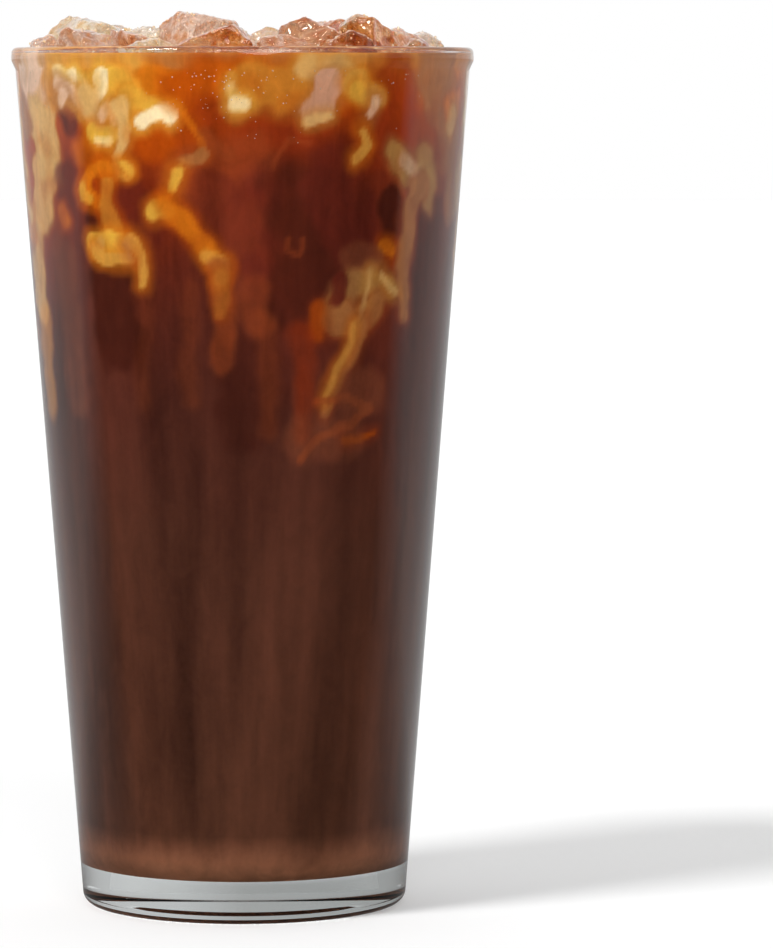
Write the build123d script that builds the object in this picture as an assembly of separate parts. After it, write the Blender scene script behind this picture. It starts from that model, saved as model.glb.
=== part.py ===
"""Iced coffee in a tall, straight-sided glass tumbler, heaped with lumps of ice.

Frame: millimetres, +Z up, origin at the centre of the ring that the glass stands on.
Nodes: the tumbler, the coffee up to its level, and each lump of ice that breaks the surface.
"""

from build123d import *

import math
import os
import random
from typing import NamedTuple

# Tumbler, outside
HEIGHT = 167.0  # from the table to the top of the rim
WALL_TOP_R = 44.4  # outside of the straight wall, carried up to the rim's height
WALL_FOOT_R = 31.5  # outside of the straight wall, carried down to the table
BEAD_SWELL = 0.6  # how far the rim's bead stands out from the wall
BEAD_HEIGHT = 2.4  # from the top of the rim to the widest part of the bead
BEAD_RUN_OUT = 1.8  # below that, where the bead runs back into the wall
RIM_ROUND = 1.05  # on both edges of the rim's top
FOOT_ROUND = 2.4  # between the wall and the ring that the glass stands on
REST_RING = 3.2  # width of the flat ring under the foot
PUNT_RISE = 1.5  # hollow in the middle of the underside

# Tumbler, inside
RIM_WALL = 2.3
FOOT_WALL = 3.1
BASE_THICKNESS = 8.2  # clear glass under the coffee
FLOOR_ROUND = 4.5  # between the floor and the wall

# Drink
LEVEL_BELOW_RIM = 4.2

# Ice
ICE_TO_WALL = 0.9  # coffee between the ice and the glass
ICE_TO_ICE = 0.5  # coffee between two lumps
MELT = 0.80  # a lump's rounding sphere, as a share of half its block's diagonal
CHIPS = 4  # corners knocked off each lump
CHIP_DEPTH = (0.62, 0.80)  # where a chip's flat lies, as a share of that sphere's radius
CHIP_UP = (-0.6, 1.0)  # range of a chip's upward facing, so that most are on the top half
SEED = 11

# The lumps that fill the mouth behind and between the ones listed below
FILLER_PLACES = 64
FILLER_SPREAD = 0.83  # how far out they go, as a share of the mouth's radius
FILLER_SPACING = 0.214  # nearest that two lumps' middles may be, as a share of that radius
FILLER_SIDE = (12.5, 17.0)
FILLER_DEPTH = 13.0
FILLER_CREST = (1.8, 5.4)
FILLER_LEAN = (-28, 28)
FILLER_TURN = (0, 90)
SKYLINE_FALL = 0.30  # how fast the heap's skyline drops beside a lump, in mm per mm
SKYLINE_MARGIN = 0.7  # fillers stay this far under it
HEAP_ROOM = 20.0  # above the rim, more than any lump stands up

GOLDEN_TURN = 360 * (1 - 1 / ((1 + math.sqrt(5)) / 2))


class Lump(NamedTuple):
    """A block of ice before it melts. across and back are shares of the mouth's radius."""

    across: float
    back: float
    width: float
    length: float
    depth: float
    crest: float  # top of the melted lump above the rim
    lean: float  # degrees about Y
    turn: float  # degrees about Z

    @property
    def reach(self):
        """Radius of the sphere that rounds the block."""
        return MELT * math.sqrt(self.width**2 + self.length**2 + self.depth**2) / 2


# The lumps along the front and the skyline, from left to right.
SHOWN_LUMPS = [
    Lump(-0.91, -0.05, 8.0, 11.0, 12.0, 2.9, -24, 12),
    Lump(-0.74, 0.22, 13.5, 13.0, 15.0, 6.5, 14, 40),
    Lump(-0.69, -0.47, 14.5, 13.0, 13.0, 3.6, 10, -28),
    Lump(-0.57, 0.50, 13.0, 12.0, 13.5, 4.9, 20, 8),
    Lump(-0.47, -0.14, 9.0, 10.0, 12.5, 4.4, -18, 25),
    Lump(-0.41, -0.74, 10.0, 9.0, 11.5, 2.0, 25, 50),
    Lump(-0.22, -0.34, 14.5, 13.5, 16.0, 7.0, 12, 35),
    Lump(-0.10, -0.78, 18.0, 12.0, 12.5, 4.5, -20, -6),
    Lump(0.12, -0.50, 10.0, 10.0, 12.5, 3.8, 16, 18),
    Lump(0.18, -0.88, 8.5, 8.0, 12.0, 2.5, -8, 30),
    Lump(0.30, -0.62, 12.5, 11.0, 14.0, 5.8, 24, 42),
    Lump(0.44, -0.22, 11.0, 12.0, 14.0, 5.4, -12, 10),
    Lump(0.46, -0.82, 9.5, 8.5, 12.0, 3.0, 20, 12),
    Lump(0.58, -0.52, 7.5, 9.0, 15.0, 6.3, -14, -35),
    Lump(0.72, -0.26, 9.0, 9.0, 12.0, 3.9, 24, 20),
    Lump(0.79, 0.12, 9.5, 11.0, 12.0, 3.2, -20, 45),
    Lump(0.79, -0.48, 8.0, 9.0, 11.0, 1.8, 28, -15),
]


def wall_outside(z):
    """Radius of the straight outer wall at height z."""
    return WALL_FOOT_R + (WALL_TOP_R - WALL_FOOT_R) * z / HEIGHT


def wall_inside(z):
    """Radius of the straight inner wall at height z."""
    thickness = FOOT_WALL + (RIM_WALL - FOOT_WALL) * z / HEIGHT
    return wall_outside(z) - thickness


def lathe(*outline):
    """Turns a closed outline in the XZ plane about Z."""
    return revolve(make_face(outline), Axis.Z)


def tumbler():
    """The glass: a thick base with a shallow punt, a tapered wall and a beaded rim."""
    widest = HEIGHT - BEAD_HEIGHT
    run_out = widest - BEAD_RUN_OUT
    punt_r = WALL_FOOT_R - FOOT_ROUND - REST_RING
    floor_r = wall_inside(BASE_THICKNESS)
    corners = [
        ((WALL_FOOT_R, 0, 0), FOOT_ROUND),
        ((wall_outside(run_out), 0, run_out), BEAD_RUN_OUT),
        ((wall_outside(widest) + BEAD_SWELL, 0, widest), BEAD_RUN_OUT),
        ((wall_outside(HEIGHT) + BEAD_SWELL, 0, HEIGHT), RIM_ROUND),
        ((wall_inside(HEIGHT), 0, HEIGHT), RIM_ROUND),
        ((floor_r, 0, BASE_THICKNESS), FLOOR_ROUND),
    ]
    start, end = (punt_r, 0, 0), (0, 0, BASE_THICKNESS)
    section = FilletPolyline(
        start, *(point for point, _ in corners), end, radius=[radius for _, radius in corners]
    )
    punt_top = (0, 0, PUNT_RISE)
    punt = TangentArc(punt_top, start, tangent=(1, 0, 0))
    return lathe(*section.edges(), Line(end, punt_top), punt)


def contents(top):
    """What the tumbler holds when it is full up to the height top."""
    floor_r = wall_inside(BASE_THICKNESS)
    side = FilletPolyline(
        (0, 0, BASE_THICKNESS),
        (floor_r, 0, BASE_THICKNESS),
        (wall_inside(top), 0, top),
        radius=[FLOOR_ROUND],
    )
    lid = Line((wall_inside(top), 0, top), (0, 0, top))
    return lathe(*side.edges(), lid, Line((0, 0, top), (0, 0, BASE_THICKNESS)))


def room_for_ice():
    """The tumbler's inside, carried up past the heap and kept clear of the wall."""
    low, high = BASE_THICKNESS, HEIGHT + HEAP_ROOM
    low_r, high_r = (wall_inside(z) - ICE_TO_WALL for z in (low, high))
    return Pos(0, 0, (low + high) / 2) * Cone(low_r, high_r, high - low)


def flat_distance(one, other):
    """Distance between two lumps' middles, seen from above, as a share of the mouth's radius."""
    return math.hypot(one.across - other.across, one.back - other.back)


def fillers(shown, dice):
    """More lumps, spread over the mouth like seeds in a head, wherever the shown ones leave room."""
    mouth = wall_inside(HEIGHT)
    lumps = list(shown)
    for place in range(FILLER_PLACES):
        share = FILLER_SPREAD * math.sqrt((place + 0.5) / FILLER_PLACES)
        angle = math.radians(place * GOLDEN_TURN)
        across, back = share * math.cos(angle), share * math.sin(angle)
        skyline = max(s.crest - SKYLINE_FALL * mouth * abs(s.across - across) for s in shown)
        lump = Lump(
            across,
            back,
            dice.uniform(*FILLER_SIDE),
            dice.uniform(*FILLER_SIDE),
            FILLER_DEPTH,
            min(dice.uniform(*FILLER_CREST), skyline - SKYLINE_MARGIN),
            dice.uniform(*FILLER_LEAN),
            dice.uniform(*FILLER_TURN),
        )
        if all(flat_distance(lump, other) > FILLER_SPACING for other in lumps):
            lumps.append(lump)
    return lumps[len(shown) :]


def keep_behind(solid, point, direction):
    """The part of a solid on the near side of the plane through point that faces direction."""
    return split(solid, bisect_by=Plane(origin=point, z_dir=direction), keep=Keep.BOTTOM)


def melted(lump, dice):
    """A lump about the origin: its block rounded by a sphere, with corners knocked off."""
    solid = Sphere(lump.reach)
    for axis, side in ((Axis.X, lump.width), (Axis.Y, lump.length), (Axis.Z, lump.depth)):
        for facing in (axis.direction, -axis.direction):
            solid = keep_behind(solid, facing * side / 2, facing)
    for _ in range(CHIPS):
        upward = dice.uniform(*CHIP_UP)
        facing = Vector(dice.uniform(-1, 1), dice.uniform(-1, 1), upward).normalized()
        solid = keep_behind(solid, facing * lump.reach * dice.uniform(*CHIP_DEPTH), facing)
    return Rot(0, lump.lean, lump.turn) * solid


def middle(lump, solid):
    """Where a melted lump's centre goes, so that its top is at its crest."""
    mouth = wall_inside(HEIGHT)
    height = HEIGHT + lump.crest - solid.bounding_box().max.Z
    return Vector(lump.across * mouth, lump.back * mouth, height)


def clear_of(solid, lump, at, others):
    """Cuts a placed lump back from its neighbours, each with its own middle."""
    for other, there in others:
        between = there - at
        if between.length < lump.reach + other.reach + ICE_TO_ICE:
            meeting = between.length * lump.reach / (lump.reach + other.reach) - ICE_TO_ICE / 2
            towards = between.normalized()
            solid = keep_behind(solid, at + towards * meeting, towards)
    return solid


def heap(dice):
    """All the ice: every lump melted, placed, and cut clear of its neighbours and the glass."""
    lumps = SHOWN_LUMPS + fillers(SHOWN_LUMPS, dice)
    solids = [melted(lump, dice) for lump in lumps]
    middles = [middle(lump, solid) for lump, solid in zip(lumps, solids)]
    placed = list(zip(lumps, middles))
    room = room_for_ice()
    pieces = []
    for number, (solid, (lump, at)) in enumerate(zip(solids, placed)):
        others = placed[:number] + placed[number + 1 :]
        pieces.append(clear_of(Pos(*at) * solid, lump, at, others) & room)
    return pieces


def main():
    """Builds every node and writes it to parts/."""
    nodes = {"tumbler": tumbler()}
    drink = contents(HEIGHT - LEVEL_BELOW_RIM)
    for number, piece in enumerate(heap(random.Random(SEED)), start=1):
        nodes[f"ice_{number:02d}"] = piece
        drink -= piece
    nodes["coffee"] = drink

    os.makedirs("parts", exist_ok=True)
    for name, solid in nodes.items():
        export_step(solid, f"parts/{name}.step")


main()
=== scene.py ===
"""Looks for the iced coffee: clear tumbler, coffee with sinking cream, melting ice and bubbles."""

import math
import random
from typing import NamedTuple

import bmesh
import bpy
import numpy as np
from mathutils import Matrix, Vector, noise


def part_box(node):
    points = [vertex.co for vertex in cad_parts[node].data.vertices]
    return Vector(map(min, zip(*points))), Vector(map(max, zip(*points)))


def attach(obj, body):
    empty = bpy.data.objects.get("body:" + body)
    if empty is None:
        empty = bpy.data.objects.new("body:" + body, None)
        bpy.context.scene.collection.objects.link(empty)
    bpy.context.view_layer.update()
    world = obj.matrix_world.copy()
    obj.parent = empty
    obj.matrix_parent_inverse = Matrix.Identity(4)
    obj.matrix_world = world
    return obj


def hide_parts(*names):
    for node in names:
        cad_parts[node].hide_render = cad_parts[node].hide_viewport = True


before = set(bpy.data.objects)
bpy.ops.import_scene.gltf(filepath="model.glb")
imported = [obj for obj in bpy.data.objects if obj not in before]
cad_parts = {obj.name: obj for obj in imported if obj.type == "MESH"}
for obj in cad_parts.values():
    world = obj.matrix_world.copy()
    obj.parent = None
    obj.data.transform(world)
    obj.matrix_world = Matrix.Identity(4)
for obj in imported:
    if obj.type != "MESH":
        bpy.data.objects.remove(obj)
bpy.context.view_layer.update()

MM = 0.001
SEED = 7

# Read from the frame
RIM_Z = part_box("tumbler")[1].z
LEVEL_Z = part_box("coffee")[1].z
FLOOR_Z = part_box("coffee")[0].z
BEAD_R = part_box("tumbler")[1].x
TOP_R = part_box("coffee")[1].x
LUMP_NODES = sorted(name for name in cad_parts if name.startswith("ice_"))

# Tumbler section
WALL_TOP_R = 44.4 * MM
WALL_FOOT_R = 31.5 * MM
RIM_WALL = 2.3 * MM
FOOT_WALL = 3.1 * MM
BEAD_HEIGHT = 2.4 * MM
BEAD_RUN_OUT = 1.8 * MM
RIM_ROUND = 1.05 * MM
FOOT_ROUND = 2.4 * MM
REST_RING = 3.2 * MM
PUNT_RISE = 1.5 * MM
FLOOR_ROUND = 4.5 * MM
INTO_WALL = 0.15 * MM  # how far the coffee reaches into the glass, so that no air shows
FILM = 0.4 * MM  # coffee and melt water that cling to the glass above the level
FILM_BELOW_RIM = 1.3 * MM
FILM_ROWS = 5

# Fineness
TURN_STEPS = 440
GLASS_STEPS = 256
UPPER_ROWS = 150
LOWER_ROWS = 44
SWIRL_FOOT_Z = 66 * MM  # above this the coffee's side is finer, because the cream is there


def srgb(red, green, blue, alpha=1.0):
    """A colour given as 0 to 255 on a screen, as linear values for a node."""
    def linear(level):
        share = level / 255
        return share / 12.92 if share <= 0.04045 else ((share + 0.055) / 1.055) ** 2.4
    return (linear(red), linear(green), linear(blue), alpha)


# ---------------------------------------------------------------- shapes

def wall_outside(z):
    """Radius of the tumbler's straight outer wall at height z."""
    return WALL_FOOT_R + (WALL_TOP_R - WALL_FOOT_R) * z / RIM_Z


def wall_inside(z):
    """Radius of its inner wall at height z."""
    return wall_outside(z) - (FOOT_WALL + (RIM_WALL - FOOT_WALL) * z / RIM_Z)


def rounded(corners, steps=6):
    """An outline in the XZ plane with each ((x, z), radius) corner turned into an arc."""
    points = [Vector(at) for at, _ in corners]
    outline = [points[0]]
    for before, (at, radius), after in zip(points, corners[1:-1], points[2:]):
        at = Vector(at)
        back, on = (before - at).normalized(), (after - at).normalized()
        half = back.angle(on) / 2
        centre = at + (back + on).normalized() * radius / math.sin(half)
        start = at + back * radius / math.tan(half)
        end = at + on * radius / math.tan(half)
        for step in range(steps + 1):
            point = start.lerp(end, step / steps) - centre
            outline.append(centre + point.normalized() * radius)
    outline.append(points[-1])
    return outline


def lathe(name, outline, steps):
    """Turns an outline of (x, z) points about the Z axis into a closed, smooth piece."""
    mesh = bmesh.new()
    line = [mesh.verts.new((x, 0, z)) for x, z in outline]
    edges = [mesh.edges.new(pair) for pair in zip(line, line[1:])]
    bmesh.ops.spin(
        mesh, geom=line + edges, cent=(0, 0, 0), axis=(0, 0, 1), dvec=(0, 0, 0),
        angle=math.tau, steps=steps, use_merge=True,
    )
    bmesh.ops.remove_doubles(mesh, verts=mesh.verts, dist=1e-6)
    bmesh.ops.recalc_face_normals(mesh, faces=mesh.faces)
    return piece_from(mesh, name)


def piece_from(mesh, name, smooth=True):
    """Makes an object of a bmesh and shades it smooth."""
    for face in mesh.faces:
        face.smooth = smooth
    data = bpy.data.meshes.new(name)
    mesh.to_mesh(data)
    mesh.free()
    piece = bpy.data.objects.new(name, data)
    bpy.context.scene.collection.objects.link(piece)
    return piece


def finish_piece(piece, slot, *materials, stands_for=()):
    """Gives a piece its materials, and says what it rides on and stands for; its slot is not used."""
    for material in materials:
        piece.data.materials.append(material)
    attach(piece, "root")
    if stands_for:
        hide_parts(*stands_for)


# ---------------------------------------------------------------- nodes

class Nodes:
    """Short calls for making and joining shader nodes in one tree."""

    def __init__(self, tree):
        self.tree = tree
        tree.nodes.clear()

    def add(self, kind, **settings):
        node = self.tree.nodes.new("ShaderNode" + kind)
        for key, value in settings.items():
            setattr(node, key, value)
        return node

    def add_group_end(self, kind):
        return self.tree.nodes.new(kind)

    def link(self, source, target):
        self.tree.links.new(source, target)

    def noise(self, source, scale, detail=3.0, roughness=0.5, distortion=0.0):
        node = self.add("TexNoise")
        self.link(source, node.inputs["Vector"])
        node.inputs["Scale"].default_value = scale
        node.inputs["Detail"].default_value = detail
        node.inputs["Roughness"].default_value = roughness
        node.inputs["Distortion"].default_value = distortion
        return node.outputs["Fac"]

    def stretched(self, source, scale):
        node = self.add("Mapping")
        self.link(source, node.inputs["Vector"])
        node.inputs["Scale"].default_value = scale
        return node.outputs["Vector"]

    def math(self, operation, first, second=0.0, third=0.0, clamp=False):
        node = self.add("Math", operation=operation, use_clamp=clamp)
        for socket, value in zip(node.inputs, (first, second, third)):
            if isinstance(value, (int, float)):
                socket.default_value = value
            else:
                self.link(value, socket)
        return node.outputs[0]

    def span(self, source, low, high, to_low=0.0, to_high=1.0):
        node = self.add("MapRange")
        self.link(source, node.inputs["Value"])
        for key, value in zip(("From Min", "From Max", "To Min", "To Max"), (low, high, to_low, to_high)):
            node.inputs[key].default_value = value
        return node.outputs["Result"]

    def ramp(self, source, stops, interpolation="LINEAR"):
        node = self.add("ValToRGB")
        node.color_ramp.interpolation = interpolation
        elements = node.color_ramp.elements
        for extra in stops[2:]:
            elements.new(extra[0])
        for element, (position, colour) in zip(elements, stops):
            element.position = position
            element.color = colour
        self.link(source, node.inputs["Fac"])
        return node.outputs["Color"]

    def mix(self, factor, first, second):
        node = self.add("Mix", data_type="RGBA")
        for socket, value in zip((node.inputs[0], node.inputs[6], node.inputs[7]), (factor, first, second)):
            if isinstance(value, (int, float, tuple)):
                socket.default_value = value
            else:
                self.link(value, socket)
        return node.outputs[2]

    def bump(self, height, strength, distance):
        node = self.add("Bump")
        self.link(height, node.inputs["Height"])
        node.inputs["Strength"].default_value = strength
        node.inputs["Distance"].default_value = distance
        return node.outputs["Normal"]


def new_material(name):
    """An empty material with its nodes, an output and one Principled shader joined to it."""
    material = bpy.data.materials.new(name)
    material.use_nodes = True
    nodes = Nodes(material.node_tree)
    output = nodes.add("OutputMaterial")
    shader = nodes.add("BsdfPrincipled")
    nodes.link(shader.outputs[0], output.inputs[0])
    return material, nodes, shader, output


def let_lamps_through(nodes, shader, output, tint):
    """Lamps shine through the surface, as they do through clear glass or ice."""
    clear = nodes.add("BsdfTransparent")
    clear.inputs["Color"].default_value = tint
    path = nodes.add("LightPath")
    both = nodes.add("MixShader")
    nodes.link(path.outputs["Is Shadow Ray"], both.inputs[0])
    nodes.link(shader.outputs[0], both.inputs[1])
    nodes.link(clear.outputs[0], both.inputs[2])
    nodes.link(both.outputs[0], output.inputs[0])


# ---------------------------------------------------------------- the cream in the coffee

class Stroke(NamedTuple):
    """A ribbon or a patch of cream, coffee or something between, against the glass."""

    tone: str
    strength: float  # 1 hides what is under it
    half_width: tuple  # at its start and its end, mm
    softness: float  # how far its edge takes to fade, mm
    path: list  # (degrees round from the front, height in mm)


TONES = {
    "cream": (248, 228, 182),
    "pink": (226, 190, 164),
    "rose": (200, 150, 124),
    "sand": (212, 170, 106),
    "yellow": (224, 176, 66),
    "ochre": (206, 148, 62),
    "honey": (194, 126, 44),
    "fawn": (176, 130, 70),
    "tan": (164, 104, 56),
    "amber": (206, 112, 20),
    "orange": (184, 78, 8),
    "rust": (140, 62, 28),
    "brown": (112, 58, 36),
    "red": (128, 42, 14),
    "wine": (88, 30, 20),
    "dark": (54, 20, 12),
}

# What a tone fades into at its edge, as cream thins out into coffee
EDGE_TONES = {
    "cream": "yellow", "pink": "tan", "rose": "tan", "sand": "honey", "yellow": "amber", "ochre": "amber",
    "honey": "orange", "fawn": "tan", "tan": "rust", "amber": "orange", "orange": "red",
}
EDGE_WIDTH = 0.5
EDGE_SOFTNESS = 2.4
EDGE_STRENGTH = 0.55
SPREAD = 1.3  # how much wider the strokes lie than their half widths
LEAST_SOFTNESS = 0.75

# The coffee's own colour at each height in mm, before the strokes
COFFEE_HEIGHTS = [8, 12, 17, 70, 100, 116, 130, 145, 155, 161, 166]
COFFEE_TONES = [
    (160, 106, 78), (124, 78, 56), (74, 43, 30), (70, 38, 27), (68, 32, 23), (76, 32, 22),
    (88, 33, 20), (114, 39, 16), (168, 68, 12), (188, 104, 28), (196, 128, 58),
]

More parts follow.
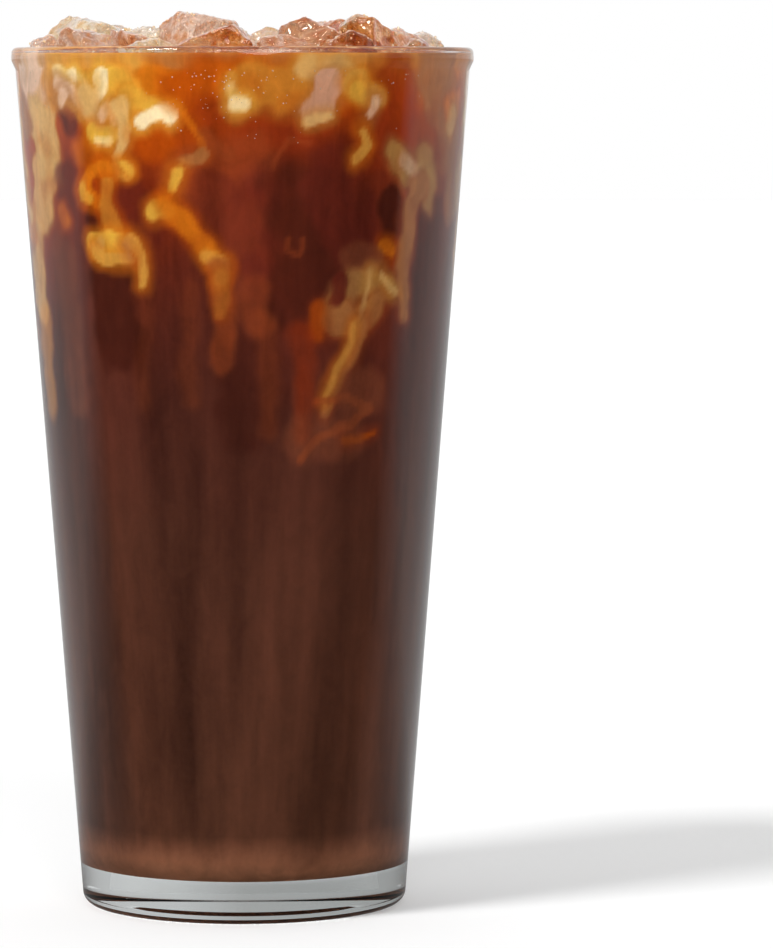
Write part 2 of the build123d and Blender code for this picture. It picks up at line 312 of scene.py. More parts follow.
FRONT_STROKES = [
    # soft tones behind the swirls
    Stroke("sand", 0.75, (0.9, 0.9), 1, [(-73, 164), (-45, 164), (-26, 164)]),
    Stroke("tan", 0.55, (0.7, 0.7), 1, [(-24, 164), (-3, 164), (15, 164)]),
    # the pale column down the left edge, pink at the top, is a painted reflection of the glass's side highlight
    Stroke("pink", 0.95, (5.2, 4.3), 1.6, [(-68, 160), (-69, 156)]),
    Stroke("sand", 0.9, (3.9, 2.9), 1.6, [(-65, 152), (-63, 148)]),
    Stroke("sand", 0.8, (3.3, 2.9), 1.7, [(-66, 143), (-70, 137)]),
    Stroke("sand", 0.75, (2.9, 2.5), 1.7, [(-77, 132), (-77, 119)]),
    Stroke("ochre", 0.5, (1.6, 1), 2.7, [(-75, 114), (-74, 98)]),
    Stroke("ochre", 0.9, (3.5, 3.9), 1.7, [(-52, 161), (-44, 159), (-36, 159), (-30, 160)]),
    Stroke("ochre", 0.85, (3.1, 1.7), 1.4, [(-43, 156), (-38, 153)]),
    Stroke("amber", 0.85, (1.7, 1.7), 2.3, [(-23, 161), (-18, 160)]),
    Stroke("orange", 0.8, (2.9, 2.9), 3.9, [(-13, 159), (2, 160)]),
    Stroke("honey", 0.85, (2.7, 3.1), 2.3, [(4, 160), (10, 158), (16, 160)]),
    Stroke("red", 0.7, (2.3, 2.3), 2.7, [(-10, 153), (3, 151)]),
    Stroke("rust", 0.55, (2.5, 2.5), 3.1, [(-14, 143), (-4, 144), (2, 146)]),
    Stroke("rust", 0.5, (2.3, 2.3), 2.9, [(-15, 137), (-1, 133)]),
    Stroke("red", 0.7, (2.7, 2.7), 3.1, [(15, 150), (32, 148)]),
    Stroke("wine", 0.7, (1.7, 1.7), 2.7, [(4, 141), (6, 140)]),
    Stroke("dark", 0.6, (3.9, 3.9), 3.5, [(14, 140), (17, 120)]),
    Stroke("dark", 0.5, (3.5, 3.5), 3.1, [(2, 114), (1, 97)]),
    Stroke("wine", 0.75, (3.5, 3.5), 3.1, [(25, 143), (31, 131)]),
    Stroke("red", 0.75, (2.9, 2.9), 3.1, [(42, 160), (45, 149)]),
    Stroke("tan", 0.75, (4.3, 3.3), 1.9, [(59, 162), (64, 157), (71, 147), (75, 140)]),
    Stroke("rust", 0.5, (2.1, 2.1), 1.9, [(55, 151), (65, 142)]),
    Stroke("sand", 0.75, (1.2, 1.2), 1.2, [(16, 163), (27, 163)]),
    Stroke("wine", 0.85, (1.2, 1.2), 1.2, [(-52, 155), (-51, 153)]),
    Stroke("amber", 0.6, (1.9, 1.9), 1.6, [(-46, 147), (-40, 146)]),
    Stroke("wine", 0.8, (2.3, 2.3), 1.9, [(-32, 140), (-28, 134)]),
    Stroke("dark", 0.85, (1.4, 1.4), 1.2, [(-43, 135), (-40, 133)]),
    Stroke("brown", 0.6, (1.9, 1.2), 2.7, [(-58, 126), (-57, 113), (-56, 100)]),
    Stroke("wine", 0.75, (2.3, 2.3), 1.7, [(-54, 142), (-53, 135)]),
    Stroke("dark", 0.85, (3.3, 3.7), 1.9, [(-39, 123), (-37, 111)]),
    Stroke("wine", 0.6, (2.7, 2.7), 2.3, [(-8, 139), (3, 129)]),
    Stroke("orange", 0.7, (1.7, 1.7), 2.3, [(-29, 151), (-22, 149)]),
    Stroke("dark", 0.85, (1.7, 1.7), 1.6, [(44, 138), (45, 131)]),
    # the bright mass on the left
    Stroke("ochre", 0.92, (2.7, 3.1), 1.2, [(-51, 160), (-42, 158), (-36, 155)]),
    Stroke("yellow", 0.7, (1.6, 1.4), 1.4, [(-34, 161), (-30, 158)]),
    Stroke("sand", 0.75, (1.6, 1.6), 1.2, [(-47, 159), (-41, 156)]),
    Stroke("cream", 0.6, (1, 0.8), 1, [(-54, 162), (-46, 160), (-43, 157)]),
    Stroke("cream", 0.95, (1.3, 0.4), 0.6, [(-39, 161), (-39, 159), (-41, 157), (-42, 155)]),
    Stroke("cream", 0.85, (0.7, 0.4), 0.6, [(-49, 162), (-48, 161)]),
    Stroke("pink", 0.85, (0.6, 0.6), 0.7, [(-55, 160), (-50, 159), (-46, 156), (-43, 153)]),
    Stroke("pink", 0.85, (0.7, 0.5), 0.6, [(-53, 158), (-54, 157)]),
    Stroke("sand", 0.9, (1.2, 1), 0.8, [(-44, 158), (-43, 155), (-41, 153)]),
    Stroke("yellow", 0.95, (0.8, 1), 0.6, [(-43, 151), (-40, 151), (-36, 151)]),
    Stroke("cream", 0.6, (0.4, 0.4), 0.5, [(-41, 150), (-37, 150)]),
    Stroke("pink", 0.65, (0.4, 0.4), 0.6, [(-39, 154), (-36, 156), (-35, 153)]),
    Stroke("yellow", 0.6, (0.8, 0.8), 0.8, [(-31, 158), (-27, 157), (-22, 156)]),
    Stroke("sand", 0.95, (1.2, 0.4), 0.6, [(-33, 156), (-32, 152), (-33, 149), (-35, 146)]),
    Stroke("ochre", 0.95, (0.8, 1.1), 0.6, [(-39, 143), (-35, 144), (-32, 144)]),
    Stroke("yellow", 0.7, (0.4, 0.4), 0.5, [(-33, 145), (-31, 144)]),
    Stroke("amber", 0.95, (1, 0.8), 0.7, [(-39, 144), (-44, 143), (-47, 141), (-45, 139), (-42, 138)]),
    Stroke("yellow", 0.65, (0.4, 0.4), 0.4, [(-48, 141), (-47, 139), (-44, 138)]),
    Stroke("red", 0.75, (0.6, 0.6), 0.8, [(-42, 141), (-40, 140)]),
    Stroke("cream", 1, (0.8, 0.9), 0.3, [(-27, 153), (-25, 154), (-21, 155), (-19, 154)]),
    # what has sunk below it
    Stroke("honey", 0.8, (0.6, 1.2), 0.8, [(-39, 141), (-39, 137), (-37, 134), (-36, 132)]),
    Stroke("yellow", 0.95, (1.2, 1.3), 0.6, [(-44, 130), (-39, 130), (-34, 130)]),
    Stroke("sand", 0.8, (0.5, 0.5), 0.6, [(-44, 129), (-41, 130)]),
    Stroke("ochre", 0.95, (0.8, 0.8), 0.6, [(-43, 128), (-38, 127), (-33, 127)]),
    Stroke("ochre", 0.9, (0.8, 0.3), 0.6, [(-31, 131), (-29, 128), (-28, 124), (-28, 122)]),
    Stroke("tan", 0.65, (0.2, 0.2), 0.5, [(-33, 130), (-32, 127)]),
    Stroke("yellow", 0.85, (0.8, 0.8), 0.8, [(-25, 136), (-23, 137), (-21, 137)]),
    Stroke("amber", 0.7, (0.7, 0.7), 1, [(-57, 136), (-56, 134)]),
    Stroke("amber", 0.75, (0.2, 0.4), 0.5, [(-19, 157), (-15, 155), (-13, 152), (-11, 148), (-11, 147)]),
    Stroke("tan", 0.9, (0.5, 0.7), 0.5, [(-16, 146), (-13, 146), (-11, 147)]),
    Stroke("yellow", 0.85, (0.4, 0.3), 0.5, [(-17, 144), (-18, 142), (-19, 140)]),
    Stroke("rust", 0.7, (0.5, 0.5), 1, [(-11, 151), (-8, 149), (-3, 147)]),
    Stroke("amber", 0.85, (0.6, 1.2), 1, [(-21, 138), (-17, 135), (-12, 131), (-8, 128), (-6, 125)]),
    Stroke("ochre", 0.75, (0.8, 0.8), 0.8, [(-10, 128), (-6, 127), (-6, 124)]),
    Stroke("rust", 0.65, (1.4, 0.8), 1.7, [(-6, 125), (-5, 120), (-5, 114), (-6, 108)]),
    Stroke("honey", 0.4, (0.6, 0.4), 1.2, [(-6, 124), (-5, 120), (-6, 117)]),
    Stroke("rust", 0.45, (1, 1), 2.3, [(3, 122), (4, 115)]),
    # middle
    Stroke("ochre", 0.75, (0.5, 0.5), 0.6, [(-3, 161), (-3, 159)]),
    Stroke("sand", 0.9, (0.5, 1.1), 0.5, [(-3, 159), (-2, 157), (-1, 156)]),
    Stroke("cream", 0.7, (0.7, 0.7), 0.5, [(-2, 156), (0, 156)]),
    Stroke("rust", 0.45, (0.1, 0.1), 0.5, [(12, 131), (12, 129), (15, 128), (16, 129), (16, 131)]),
    Stroke("rust", 0.6, (0.1, 0.1), 0.5, [(8, 144), (10, 147), (13, 149), (17, 149)]),
    # right
    Stroke("rose", 0.9, (2.1, 2.1), 0.6, [(22, 160), (21, 157), (20, 156)]),
    Stroke("sand", 0.8, (0.4, 0.4), 0.5, [(17, 153), (23, 154)]),
    Stroke("ochre", 0.9, (1.7, 1.2), 1.4, [(30, 160), (33, 158), (36, 158)]),
    Stroke("yellow", 0.6, (0.8, 0.8), 1, [(31, 159), (31, 158)]),
    Stroke("pink", 0.95, (0.4, 0.3), 0.3, [(36, 157), (35, 155), (34, 154)]),
    Stroke("amber", 0.9, (1, 1), 1.6, [(68, 156), (74, 156)]),
    Stroke("sand", 0.6, (1, 1), 1.2, [(70, 154), (69, 152)]),
    Stroke("ochre", 0.9, (0.4, 0.6), 0.5, [(32, 151), (34, 149), (32, 147), (30, 146)]),
    Stroke("fawn", 0.85, (1, 1.7), 1, [(43, 148), (47, 145), (51, 143), (57, 142)]),
    Stroke("pink", 0.55, (0.6, 0.6), 1, [(47, 146), (53, 144)]),
    Stroke("fawn", 0.7, (1.2, 1.2), 1.2, [(56, 146), (60, 141), (59, 138)]),
    Stroke("tan", 0.9, (1.6, 0.7), 1, [(54, 140), (51, 135), (50, 130), (50, 121), (51, 117)]),
    Stroke("amber", 0.7, (0.7, 0.7), 0.8, [(42, 129), (45, 128)]),
    # the plume on the right and its tail
    Stroke("brown", 0.75, (1.2, 1.2), 1.2, [(30, 127), (34, 129), (38, 127)]),
    Stroke("fawn", 0.72, (1.7, 1.4), 1.2, [(28, 119), (31, 122), (37, 123), (44, 121)]),
    Stroke("tan", 0.85, (1.6, 1.6), 1, [(27, 116), (33, 116), (40, 118)]),
    Stroke("sand", 0.5, (0.2, 0.2), 0.5, [(36, 125), (36, 119), (35, 115)]),
    Stroke("sand", 0.6, (0.3, 0.3), 0.5, [(41, 124), (47, 120)]),
    Stroke("wine", 0.9, (0.8, 0.8), 0.8, [(27, 123), (27, 120)]),
    Stroke("orange", 0.5, (0.6, 0.4), 1.4, [(22, 118), (21, 113)]),
    Stroke("tan", 0.75, (1, 0.4), 1, [(35, 115), (32, 110), (28, 105), (25, 98)]),
    Stroke("ochre", 0.5, (0.3, 0.2), 0.8, [(33, 115), (30, 110), (27, 105), (24, 100)]),
    Stroke("rust", 0.7, (0.3, 0.3), 0.8, [(22, 100), (31, 101), (39, 99), (33, 96), (23, 93), (17, 90)]),
    Stroke("orange", 0.55, (0.3, 0.2), 0.8, [(31, 93), (41, 94)]),
    Stroke("rust", 0.22, (0.4, 0.2), 2.3, [(-28, 119), (-30, 106), (-30, 99)]),
    Stroke("rust", 0.25, (0.4, 0.2), 2.3, [(-15, 122), (-16, 110), (-15, 101)]),
    Stroke("rust", 0.3, (0.6, 0.3), 2.3, [(6, 116), (7, 106), (7, 95)]),
    Stroke("red", 0.55, (1, 0.4), 2.3, [(16, 113), (18, 106), (18, 94)]),
    Stroke("brown", 0.6, (1.9, 1.9), 2.7, [(33, 101), (39, 102)]),
    Stroke("brown", 0.5, (1.7, 1.7), 2.7, [(17, 93), (33, 93)]),
]

BACK_FROM, BACK_TO = 78, 282  # degrees round that the front's strokes leave free
BACK_PATCHES = 34
BACK_SWIRLS = 60
PATCH_TONES = ("orange", "rust", "red", "wine", "dark", "honey", "amber", "brown")
SWIRL_TONES = ("cream", "sand", "yellow", "ochre", "fawn", "pink", "tan", "honey")


def back_strokes(dice):
    """More of the same kind, sinking from the level round the sides and the back."""
    strokes = []
    for _ in range(BACK_PATCHES):
        angle, height = dice.uniform(BACK_FROM, BACK_TO), 164 - 50 * dice.random() ** 1.3
        path = [(angle, height), (angle + dice.uniform(-6, 6), height - dice.uniform(0, 12))]
        half = dice.uniform(1.6, 3.2)
        strokes.append(Stroke(dice.choice(PATCH_TONES), 0.65, (half, half), dice.uniform(1.6, 3.6), path))
    for _ in range(BACK_SWIRLS):
        angle, height = dice.uniform(BACK_FROM, BACK_TO), 164 - 44 * dice.random() ** 1.7
        path = [(angle, height)]
        for _ in range(dice.randint(1, 5)):
            angle += dice.uniform(-5, 5)
            height -= dice.uniform(1, 5)
            path.append((angle, height))
        half = dice.uniform(0.5, 1.8)
        strokes.append(Stroke(dice.choice(SWIRL_TONES), dice.uniform(0.7, 0.95),
                              (half, half * dice.uniform(0.3, 1.2)), dice.uniform(0.5, 1.2), path))
    return strokes


def drift(points, size, amount, shift):
    """Smooth wandering of points, as slow stirring gives."""
    offset = Vector((shift, -shift, 2 * shift))
    moved = [noise.noise_vector(Vector(point) / size + offset) for point in points]
    return np.array(moved) * amount


def nearest_on(path, across, height, radius):
    """Distance from each point of the side to a stroke's middle line, in mm, and the share along it."""
    best = np.full(len(across), 1e9)
    along_path = np.zeros(len(across))
    for number, ((a0, z0), (a1, z1)) in enumerate(zip(path, path[1:])):
        start = np.array([math.radians(a0) * radius, z0])
        along = np.array([math.radians(a1) * radius, z1]) - start
        x, z = across - start[0], height - start[1]
        share = np.clip((x * along[0] + z * along[1]) / max(along @ along, 1e-9), 0, 1)
        gap = np.hypot(x - share * along[0], z - share * along[1])
        along_path = np.where(gap < best, (number + share) / (len(path) - 1), along_path)
        best = np.minimum(best, gap)
    return best, along_path


def faded(beyond, softness):
    """1 inside an edge, falling smoothly to 0 at its softness outside it."""
    cover = np.clip(1 - beyond / softness, 0, 1)
    return cover * cover * (3 - 2 * cover)


STROKE_RADIUS = 40.0  # mm, for turning degrees into mm along the side


def tints_on(points):
    """The colour of the coffee's side at each point: its own tone, then stroke over stroke."""
    angle = np.degrees(np.arctan2(points[:, 0], -points[:, 1]))
    height = points[:, 2] / MM
    wander = drift(points / MM, 9.0, 1.0, 3.7) + drift(points / MM, 3.4, 0.6, 8.1)
    wander = wander + drift(points / MM, 1.5, 0.16, 5.3)
    plump = 1 + 0.5 * drift(points / MM, 4.0, 1.0, 2.2)[:, 0]
    tangent = np.stack([np.cos(np.radians(angle)), np.sin(np.radians(angle))], 1)
    sideways = (wander[:, :2] * tangent).sum(1)
    turned = angle + np.degrees(sideways / STROKE_RADIUS)
    lifted = height + wander[:, 2]

    uneven = drift(points / MM * (1, 1, 0.45), 15.0, 1.0, 1.9)[:, 0]
    looked_up = lifted + uneven * np.interp(height, [20, 90, 130, 160], [0, 10, 18, 5])
    tone_at = np.array(COFFEE_TONES, float)
    tints = np.stack([np.interp(looked_up, COFFEE_HEIGHTS, tone_at[:, part]) for part in range(3)], 1)
    thickness = np.clip(1.0 + 0.6 * drift(points / MM * (1, 1, 0.6), 3.2, 1.0, 6.4)[:, 2], 0.5, 1)
    for stroke in FRONT_STROKES + back_strokes(random.Random(SEED)):
        middle = stroke.path[0][0]
        near = (turned - middle + 180) % 360 - 180 + middle
        gap, share = nearest_on(stroke.path, np.radians(near) * STROKE_RADIUS, lifted, STROKE_RADIUS)
        start, end = stroke.half_width
        half = (start + (end - start) * share) * plump * SPREAD
        if stroke.tone in EDGE_TONES:
            edge = EDGE_STRENGTH * stroke.strength * faded(gap - half - EDGE_WIDTH, EDGE_SOFTNESS)
            tints += (np.array(TONES[EDGE_TONES[stroke.tone]], float) - tints) * edge[:, None]
        cover = stroke.strength * faded(gap - half, max(stroke.softness * 1.2, LEAST_SOFTNESS)) * thickness
        tints += (np.array(TONES[stroke.tone], float) - tints) * cover[:, None]
    shares = tints / 255
    return np.where(shares <= 0.04045, shares / 12.92, ((shares + 0.055) / 1.055) ** 2.4)


def coffee_outline():
    """The coffee's section: floor, rounded corner, side with fine rows, level."""
    def reach(z):
        return wall_inside(z) + INTO_WALL
    low = FLOOR_Z - INTO_WALL
    corner = [((0, low), 0), ((reach(low), low), FLOOR_ROUND), ((reach(LEVEL_Z), LEVEL_Z), 0)]
    outline = rounded(corner, 10)[:-1]
    start = outline[-1].y
    lower = [start + (SWIRL_FOOT_Z - start) * (row + 1) / LOWER_ROWS for row in range(LOWER_ROWS)]
    upper = [SWIRL_FOOT_Z + (LEVEL_Z - SWIRL_FOOT_Z) * (row + 1) / UPPER_ROWS for row in range(UPPER_ROWS)]
    outline += [Vector((reach(z), z)) for z in lower + upper]
    film = RIM_Z - FILM_BELOW_RIM
    outline += [Vector((reach(z), z)) for z in (LEVEL_Z + (film - LEVEL_Z) * step / FILM_ROWS for step in range(1, FILM_ROWS + 1))]
    outline += [Vector((reach(film) - FILM, film)), Vector((reach(LEVEL_Z) - 2.5 * FILM, LEVEL_Z + FILM / 2))]
    outline += [Vector((reach(LEVEL_Z) * share, LEVEL_Z)) for share in (0.9, 0.75, 0.6, 0.45, 0.3, 0.15, 0)]
    return outline


def coffee_side_material():
    """Dark coffee and the cream in it, from the piece's own tints, with soft streaks and grain."""
    material, nodes, shader, _ = new_material("coffee_and_cream")
    place = nodes.add("TexCoord").outputs["Object"]
    tint = nodes.add("Attribute", attribute_name="tint").outputs["Color"]
    brightness = nodes.add("RGBToBW")
    nodes.link(tint, brightness.inputs[0])
    dark = nodes.span(brightness.outputs[0], 0.03, 0.12, 1.0, 0.0)
    grain = nodes.noise(place, 1100, 3, 0.6)
    folds = nodes.noise(nodes.stretched(place, (260, 260, 130)), 1.0, 3, 0.5, 1.2)
    streaks = nodes.noise(nodes.stretched(place, (170, 170, 9)), 1.0, 4, 0.55)
    broad = nodes.noise(nodes.stretched(place, (60, 60, 7)), 1.0, 2, 0.5)
    value = nodes.math("ADD", nodes.span(grain, 0.3, 0.7, 0.95, 1.05), nodes.span(folds, 0.3, 0.7, -0.12, 0.12))
    stripes = nodes.math("ADD", nodes.span(streaks, 0.35, 0.7, -0.12, 0.5), nodes.span(broad, 0.35, 0.7, -0.2, 0.5))
    value = nodes.math("ADD", value, nodes.math("MULTIPLY", stripes, dark))
    shaded = nodes.add("HueSaturation")
    nodes.link(tint, shaded.inputs["Color"])
    nodes.link(value, shaded.inputs["Value"])
    nodes.link(shaded.outputs[0], shader.inputs["Base Color"])
    shader.inputs["Roughness"].default_value = 0.7
    shader.inputs["Specular IOR Level"].default_value = 0.0
    return material


def coffee_level_material():
    """The wet surface between the lumps: amber coffee with cream drawn out on it."""
    material, nodes, shader, _ = new_material("coffee_level")
    place = nodes.add("TexCoord").outputs["Object"]
    curls = nodes.noise(place, 95, 5, 0.6, 2.2)
    colour = nodes.ramp(curls, [
        (0.30, srgb(92, 40, 18)),
        (0.48, srgb(150, 74, 26)),
        (0.60, srgb(196, 128, 62)),
        (0.72, srgb(228, 196, 150)),
    ])
    nodes.link(colour, shader.inputs["Base Color"])
    shader.inputs["Roughness"].default_value = 0.08
    ripple = nodes.noise(place, 260, 2)
    nodes.link(nodes.bump(ripple, 0.3, 0.0006), shader.inputs["Normal"])
    return material


def make_coffee():
    """The drink, reaching just into the glass all round."""
    piece = lathe("coffee_body", coffee_outline(), TURN_STEPS)
    data = piece.data
    points = np.empty(len(data.vertices) * 3)
    data.vertices.foreach_get("co", points)
    tints = tints_on(points.reshape(-1, 3))
    attribute = data.attributes.new("tint", "FLOAT_COLOR", "POINT")
    attribute.data.foreach_set("color", np.insert(tints, 3, 1.0, axis=1).ravel())
    finish_piece(piece, "coffee", coffee_side_material(), coffee_level_material(), stands_for=["coffee"])
    for face in data.polygons:
        face.material_index = int(face.normal.z > 0.9 and face.center.z > LEVEL_Z - MM)
    return piece


# ---------------------------------------------------------------- glass

def glass_material():
    """Clear glass, faintly grey, its thick base greyer with the right half darker as painted shade, and with slight
    waves from the mould.
    """
    material, nodes, shader, output = new_material("clear_glass")
    place = nodes.add("TexCoord").outputs["Object"]
    tint = nodes.noise(place, 30, 2)
    clear = nodes.ramp(tint, [(0.3, srgb(246, 250, 250)), (0.7, srgb(250, 252, 252))])
    along = nodes.add("SeparateXYZ")
    nodes.link(place, along.inputs[0])
    # the thick base is tinted grey, and its right half, away from the key lamp, is darker as painted shade
    thick = nodes.ramp(nodes.span(along.outputs["X"], -WALL_FOOT_R, WALL_FOOT_R), [
        (0.0, srgb(214, 216, 216)), (0.3, srgb(218, 222, 222)), (0.5, srgb(178, 181, 180)), (1.0, srgb(166, 170, 170)),
    ])
    low = nodes.span(along.outputs["Z"], FLOOR_Z - 0.5 * MM, FLOOR_Z + 2 * MM, 1.0, 0.0)
    nodes.link(nodes.mix(low, clear, thick), shader.inputs["Base Color"])
    shader.inputs["Roughness"].default_value = 0.0
    shader.inputs["IOR"].default_value = 1.5
    shader.inputs["Transmission Weight"].default_value = 1.0
    waves = nodes.noise(nodes.stretched(place, (40, 40, 16)), 1.0, 2)
    nodes.link(nodes.bump(waves, 0.10, 0.0008), shader.inputs["Normal"])
    let_lamps_through(nodes, shader, output, (0.93, 0.94, 0.94, 1.0))
    return material


def make_tumbler():
    """The glass, with its bead, thick base and shallow punt."""
    widest = RIM_Z - BEAD_HEIGHT
    run_out = widest - BEAD_RUN_OUT
    swell = BEAD_R - wall_outside(widest)
    punt_r = WALL_FOOT_R - FOOT_ROUND - REST_RING
    corners = [
        ((0, PUNT_RISE), 0),
        ((punt_r * 0.6, PUNT_RISE), 12 * MM),
        ((punt_r, 0), 0.8 * MM),
        ((WALL_FOOT_R, 0), FOOT_ROUND),
        ((wall_outside(run_out), run_out), BEAD_RUN_OUT),
        ((wall_outside(widest) + swell, widest), BEAD_RUN_OUT * 0.8),
        ((wall_outside(RIM_Z) + swell * 0.5, RIM_Z), RIM_ROUND),
        ((wall_inside(RIM_Z), RIM_Z), RIM_ROUND),
        ((wall_inside(FLOOR_Z), FLOOR_Z), FLOOR_ROUND),
        ((0, FLOOR_Z), 0),
    ]
    piece = lathe("tumbler_glass", rounded(corners, 8), GLASS_STEPS)
    finish_piece(piece, "glass", glass_material(), stands_for=["tumbler"])
    return piece


# ---------------------------------------------------------------- ice

def ice_surface_group():
    """Frost, pits and cloudy patches, the same effect on every kind of ice."""
    tree = bpy.data.node_groups.new("ice_surface", "ShaderNodeTree")
    tree.interface.new_socket("Frost", in_out="INPUT", socket_type="NodeSocketFloat")
    tree.interface.new_socket("Cloudiness", in_out="INPUT", socket_type="NodeSocketFloat")
    for name, kind in (("Stain", "NodeSocketFloat"), ("Roughness", "NodeSocketFloat"), ("Normal", "NodeSocketVector")):
        tree.interface.new_socket(name, in_out="OUTPUT", socket_type=kind)
    nodes = Nodes(tree)
    given = nodes.add_group_end("NodeGroupInput")
    result = nodes.add_group_end("NodeGroupOutput")
    place = nodes.add("TexCoord").outputs["Object"]
    cracks = nodes.noise(place, 260, 5, 0.65, 1.4)
    clouds = nodes.noise(place, 90, 3, 0.5, 0.6)
    stain = nodes.math("ADD", nodes.math("MULTIPLY", clouds, given.outputs["Cloudiness"]),
                       nodes.math("MULTIPLY", cracks, nodes.math("SUBTRACT", 1.0, given.outputs["Cloudiness"])))
    nodes.link(stain, result.inputs["Stain"])
    frost = nodes.span(nodes.noise(place, 420, 3, 0.6), 0.42, 0.66)
    nodes.link(nodes.math("MULTIPLY", frost, given.outputs["Frost"]), result.inputs["Roughness"])
    pits = nodes.math("ADD", nodes.noise(place, 620, 2, 0.5), nodes.math("MULTIPLY", nodes.noise(place, 1700, 2), 0.4))
    nodes.link(nodes.bump(pits, 1.0, 0.0009), result.inputs["Normal"])
    return tree


def ice_material(name, surface, stops, frost, cloudiness, clearness):
    """Wet ice, stained by what runs over it, cloudy in places and pitted."""
    material, nodes, shader, output = new_material(name)
    group = nodes.add("Group")
    group.node_tree = surface
    group.inputs["Frost"].default_value = frost
    group.inputs["Cloudiness"].default_value = cloudiness
    nodes.link(nodes.ramp(group.outputs["Stain"], stops), shader.inputs["Base Color"])
    nodes.link(group.outputs["Roughness"], shader.inputs["Roughness"])
    nodes.link(group.outputs["Normal"], shader.inputs["Normal"])
    shader.inputs["IOR"].default_value = 1.31
    shader.inputs["Transmission Weight"].default_value = clearness
    shader.inputs["Coat Weight"].default_value = 1.0
    shader.inputs["Coat Roughness"].default_value = 0.03
    let_lamps_through(nodes, shader, output, (0.90, 0.82, 0.70, 1.0))
    return material


def ice_materials():
    """The three looks of the lumps: milky, tan and pinkish, and glassy brown."""
    surface = ice_surface_group()
    return {
        "milky": ice_material("ice_milky", surface, [
            (0.40, srgb(240, 200, 120)), (0.47, srgb(255, 244, 208)), (0.54, srgb(255, 255, 248))], 0.08, 0.4, 0.70),
        "tan": ice_material("ice_tan", surface, [
            (0.41, srgb(196, 98, 34)), (0.48, srgb(240, 186, 134)), (0.55, srgb(255, 240, 226))], 0.05, 0.4, 0.72),
        "brown": ice_material("ice_brown", surface, [
            (0.41, srgb(166, 66, 4)), (0.49, srgb(228, 142, 52)), (0.56, srgb(255, 232, 184))], 0.03, 0.5, 0.82),
    }


LOOKS = {
    "ice_01": "tan", "ice_02": "milky", "ice_03": "tan", "ice_04": "milky", "ice_05": "milky",
    "ice_06": "milky", "ice_07": "tan", "ice_08": "brown", "ice_09": "milky", "ice_10": "tan",
    "ice_11": "brown", "ice_12": "tan", "ice_13": "brown", "ice_14": "brown", "ice_15": "tan",
    "ice_16": "milky", "ice_17": "brown",
}

ICE_VOXEL = 0.38 * MM
MELT_PASSES = 3
DIMPLE = 0.42 * MM


def make_lump(node, look, shift):
    """One melted lump: the CAD block, remeshed, softened and dimpled."""
    name = node.replace("ice_", "ice_lump_")
    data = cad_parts[node].data.copy()
    data.name = name
    data.materials.clear()
    mesh = bmesh.new()
    mesh.from_mesh(data)
    bmesh.ops.remove_doubles(mesh, verts=mesh.verts, dist=1e-5)
    rough = piece_from(mesh, name + "_rough")
    remesh = rough.modifiers.new("fine", "REMESH")
    remesh.mode = "VOXEL"
    remesh.voxel_size = ICE_VOXEL
    graph = bpy.context.evaluated_depsgraph_get()
    fine = bpy.data.meshes.new_from_object(rough.evaluated_get(graph))
    bpy.data.objects.remove(rough)
    mesh = bmesh.new()
    mesh.from_mesh(fine)
    for _ in range(MELT_PASSES):
        bmesh.ops.smooth_vert(mesh, verts=mesh.verts, factor=0.5, use_axis_x=True, use_axis_y=True, use_axis_z=True)
    mesh.normal_update()
    offset = Vector((shift, 2 * shift, -shift))
    for vert in mesh.verts:
        at = vert.co / MM
        swell = noise.noise(at / 3.2 + offset) + 0.7 * noise.noise(at / 1.4 - offset)
        swell -= 0.8 * abs(noise.noise(at / 2.1 + 2 * offset))
        vert.co += vert.normal * DIMPLE * swell
    piece = piece_from(mesh, name)
    finish_piece(piece, "ice", look, stands_for=[node])
    return piece


def make_ice():
    """All the lumps, each with its own look."""
    looks = ice_materials()
    dice = random.Random(SEED)
    lumps = []
    for number, node in enumerate(LUMP_NODES):
        look = LOOKS.get(node) or dice.choice(("milky", "tan", "brown"))
        lumps.append(make_lump(node, looks[look], 1.7 * number))
    return lumps


BUBBLES_ON_ICE = 2600
BUBBLES_ON_LEVEL = 500
BUBBLES_ON_SIDE = 240
SIDE_BUBBLES_SIZE = 0.5  # of the others'
BUBBLE_R = (0.10 * MM, 0.34 * MM)
BUBBLE_CLUSTERS = (-10, -6, 0, 20, 44, 95, 130, 170, 205, 250, 290)  # degrees round from the front
BATCH = 40  # bubbles made at a time, because an operator's time grows with the mesh that it works on


def bubble_material():
    """Thin-skinned bubbles, clear with a warm cast."""
    material, nodes, shader, output = new_material("bubbles")
    place = nodes.add("TexCoord").outputs["Object"]
    colour = nodes.ramp(nodes.noise(place, 200, 2), [(0.35, srgb(250, 226, 186)), (0.65, srgb(255, 250, 240))])
    nodes.link(colour, shader.inputs["Base Color"])
    shader.inputs["Roughness"].default_value = 0.03
    shader.inputs["IOR"].default_value = 1.33
    shader.inputs["Transmission Weight"].default_value = 0.6
    shader.inputs["Coat Weight"].default_value = 1.0
    let_lamps_through(nodes, shader, output, (0.95, 0.92, 0.86, 1.0))
    return material


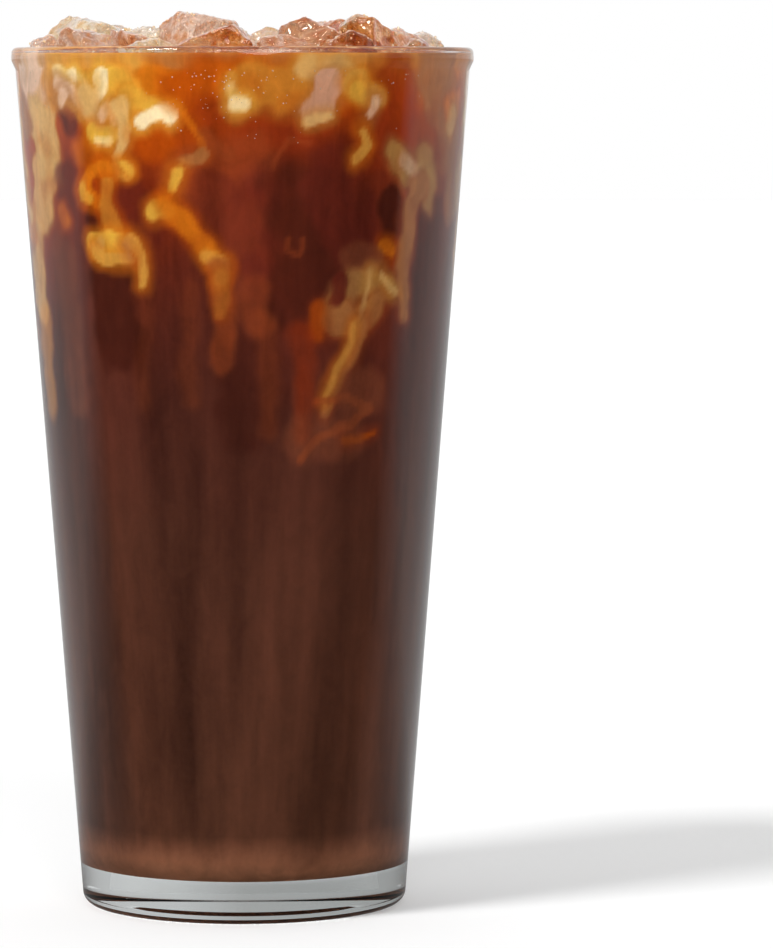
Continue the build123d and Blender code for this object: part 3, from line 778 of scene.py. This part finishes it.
def make_bubbles(lumps):
    """Tiny bubbles on the ice, and where it meets the coffee's level and the glass."""
    dice = random.Random(SEED + 1)
    places = []  # each with a share of the bubbles' size
    for _ in range(BUBBLES_ON_ICE):
        verts = dice.choice(lumps).data.vertices
        vert = verts[dice.randrange(len(verts))]
        if vert.co.z > LEVEL_Z and vert.normal.z > -0.2:
            places.append((vert.co.copy(), 1))
    for _ in range(BUBBLES_ON_LEVEL):
        turn = dice.uniform(0, math.tau)
        out = (wall_inside(LEVEL_Z) - 0.5 * MM) * dice.random() ** 0.25
        places.append(((out * math.cos(turn), out * math.sin(turn), LEVEL_Z), 1))
    for _ in range(BUBBLES_ON_SIDE):
        turn = dice.choice(BUBBLE_CLUSTERS) + dice.gauss(0, 7)
        height = LEVEL_Z - abs(dice.gauss(0, 5)) * MM
        out = wall_inside(height) + INTO_WALL
        at = (out * math.sin(math.radians(turn)), -out * math.cos(math.radians(turn)), height)
        places.append((at, SIDE_BUBBLES_SIZE))
    whole = bmesh.new()
    for start in range(0, len(places), BATCH):
        batch = bmesh.new()
        for at, size in places[start:start + BATCH]:
            bmesh.ops.create_uvsphere(
                batch, u_segments=7, v_segments=5, radius=size * dice.uniform(*BUBBLE_R),
                matrix=Matrix.Translation(at),
            )
        data = bpy.data.meshes.new("batch")
        batch.to_mesh(data)
        batch.free()
        whole.from_mesh(data)
        bpy.data.meshes.remove(data)
    piece = piece_from(whole, "bubbles")
    finish_piece(piece, "coffee", bubble_material())


# ---------------------------------------------------------------- stage

def make_floor():
    """A pale floor that keeps the shadow and goes to white where the lamps reach it."""
    mesh = bmesh.new()
    bmesh.ops.create_grid(mesh, x_segments=1, y_segments=1, size=6.0)
    floor = piece_from(mesh, "floor")
    floor.data.transform(Matrix.Translation((0, 0, -0.0002)))
    material = bpy.data.materials.new("floor")
    material.use_nodes = True
    nodes = Nodes(material.node_tree)
    output = nodes.add("OutputMaterial")
    matte = nodes.add("BsdfDiffuse")
    matte.inputs["Color"].default_value = (0.8, 0.8, 0.8, 1)
    lift = nodes.add("Emission")
    lift.inputs["Strength"].default_value = 0.17
    both = nodes.add("AddShader")
    nodes.link(matte.outputs[0], both.inputs[0])
    nodes.link(lift.outputs[0], both.inputs[1])
    path = nodes.add("LightPath")
    mixed = nodes.add("MixShader")
    nodes.link(path.outputs["Is Camera Ray"], mixed.inputs[0])
    nodes.link(matte.outputs[0], mixed.inputs[1])
    nodes.link(both.outputs[0], mixed.inputs[2])
    split = nodes.add("SeparateXYZ")
    nodes.link(nodes.add("TexCoord").outputs["Object"], split.inputs[0])
    mirrored = nodes.add("Emission")
    nodes.link(nodes.span(split.outputs["Y"], -0.05, 0.12, 0.02, 0.55), mirrored.inputs["Strength"])
    last = nodes.add("MixShader")
    reflected = nodes.math("SUBTRACT", path.outputs["Is Glossy Ray"], path.outputs["Is Transmission Ray"], clamp=True)
    nodes.link(reflected, last.inputs[0])
    nodes.link(mixed.outputs[0], last.inputs[1])
    nodes.link(mirrored.outputs[0], last.inputs[2])
    nodes.link(last.outputs[0], output.inputs[0])
    floor.data.materials.append(material)


def make_world():
    """A soft room, bright behind the object and dim on the camera's side; white where it is seen."""
    world = bpy.data.worlds.new("room")
    bpy.context.scene.world = world
    world.use_nodes = True
    nodes = Nodes(world.node_tree)
    output = nodes.add("OutputWorld")
    where = nodes.add("TexCoord").outputs["Generated"]
    split = nodes.add("SeparateXYZ")
    nodes.link(where, split.inputs[0])
    side = nodes.span(split.outputs["Y"], -0.5, 0.6, 0.16, 0.85)
    path = nodes.add("LightPath")
    strength = nodes.math("MAXIMUM", side, path.outputs["Is Camera Ray"])
    room = nodes.add("Background")
    room.inputs["Color"].default_value = (1, 1, 1, 1)
    nodes.link(strength, room.inputs["Strength"])
    nodes.link(room.outputs[0], output.inputs[0])


def make_lamp(name, towards, softness, strength):
    """A distant soft lamp that shines in a direction, evenly over the whole floor."""
    data = bpy.data.lights.new(name, "SUN")
    data.angle = math.radians(softness)
    data.energy = strength
    lamp = bpy.data.objects.new(name, data)
    bpy.context.scene.collection.objects.link(lamp)
    lamp.rotation_euler = Vector(towards).to_track_quat("-Z", "Y").to_euler()


CAMERA_AWAY = 1.0
CAMERA_HEIGHT = 0.160
CAMERA_DOWN = 4.35
CAMERA_RIGHT = 1.6
LENS = 194.8


def make_camera():
    """A long lens just below the rim's height, looking slightly down."""
    data = bpy.data.cameras.new("camera")
    data.lens = LENS
    camera = bpy.data.objects.new("camera", data)
    bpy.context.scene.collection.objects.link(camera)
    camera.location = (0, -CAMERA_AWAY, CAMERA_HEIGHT)
    camera.rotation_euler = (math.radians(90 - CAMERA_DOWN), 0, -math.radians(CAMERA_RIGHT))
    bpy.context.scene.camera = camera


def main():
    """Makes the whole scene."""
    bpy.context.scene.view_settings.view_transform = "Standard"
    make_camera()
    make_coffee()
    make_tumbler()
    make_bubbles(make_ice())
    make_floor()
    make_world()
    make_lamp("key", (1.0, 0.72, -1.5), 14, 1.9)
    make_lamp("front", (-0.15, 1.0, -0.55), 40, 1.3)


main()
